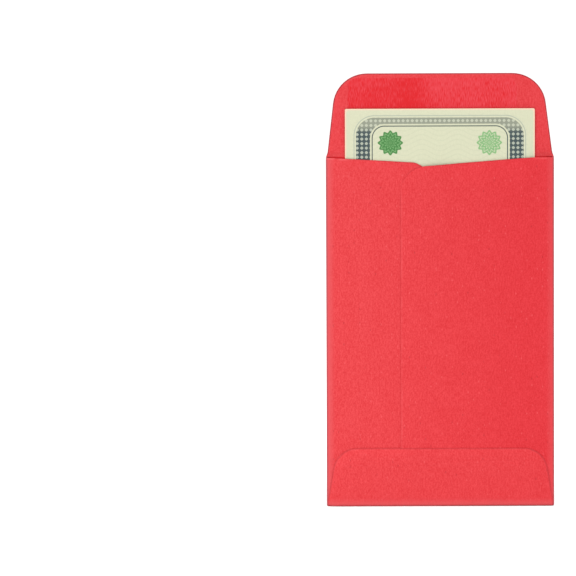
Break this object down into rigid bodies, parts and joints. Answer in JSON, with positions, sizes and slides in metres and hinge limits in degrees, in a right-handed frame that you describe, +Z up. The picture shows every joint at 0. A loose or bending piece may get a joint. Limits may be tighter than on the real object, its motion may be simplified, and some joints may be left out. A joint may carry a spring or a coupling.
{
  "type": "money envelope",
  "caption": "Small upright paper pocket with lapped side panels, a bottom flap, an open hinged seal flap with dried gum, and a printed note standing out of its mouth.",
  "frame": {"origin": "middle of the bottom fold, at mid thickness", "axes": "+Z up along the pocket to the seal flap, +X to the right seen from the seam side, -Y out of the seam side, +Y out of the address side"},
  "size_m": [0.0572, 0.0016, 0.11],
  "materials": {
    "red_paper": "uncoated coloured paper, fine vertical grain, matt",
    "dried_glue": "thin dried glue film",
    "dried_gum": "thin dried gum film on red paper, slightly glossy, finely wrinkled",
    "note_paper": "smooth printed paper, matt"
  },
  "bodies": {
    "envelope": {"address_panel": "red_paper", "left_fold": "red_paper", "right_fold": "red_paper", "bottom_fold": "red_paper", "left_side_panel": "red_paper", "right_side_panel": "red_paper", "bottom_flap": "red_paper", "side_seam_glue": "dried_glue", "left_bottom_glue": "dried_glue", "right_bottom_glue": "dried_glue"},
    "flap": {"seal_flap": "red_paper", "flap_gum": "dried_gum"},
    "note": {"note": "note_paper"},
    "note_end": {"note_end": "note_paper"}
  },
  "joints": [
    {"name": "flap_crease", "type": "hinge", "parent": "envelope", "child": "flap", "pos_m": [0, -0.0003, 0.0889], "axis": [1, 0, 0], "range_deg": [0, 179]},
    {"name": "note_slide", "type": "slide", "parent": "envelope", "child": "note", "axis": [0, 0, 1], "range_m": [0, 0.075]},
    {"name": "note_fold", "type": "hinge", "parent": "note", "child": "note_end", "pos_m": [0, -0.0003, 0.0889], "axis": [1, 0, 0], "range_deg": [0, 179]}
  ],
  "couplings": [
    {"joint": "note_fold", "follows": "flap_crease", "ratio": 1}
  ]
}
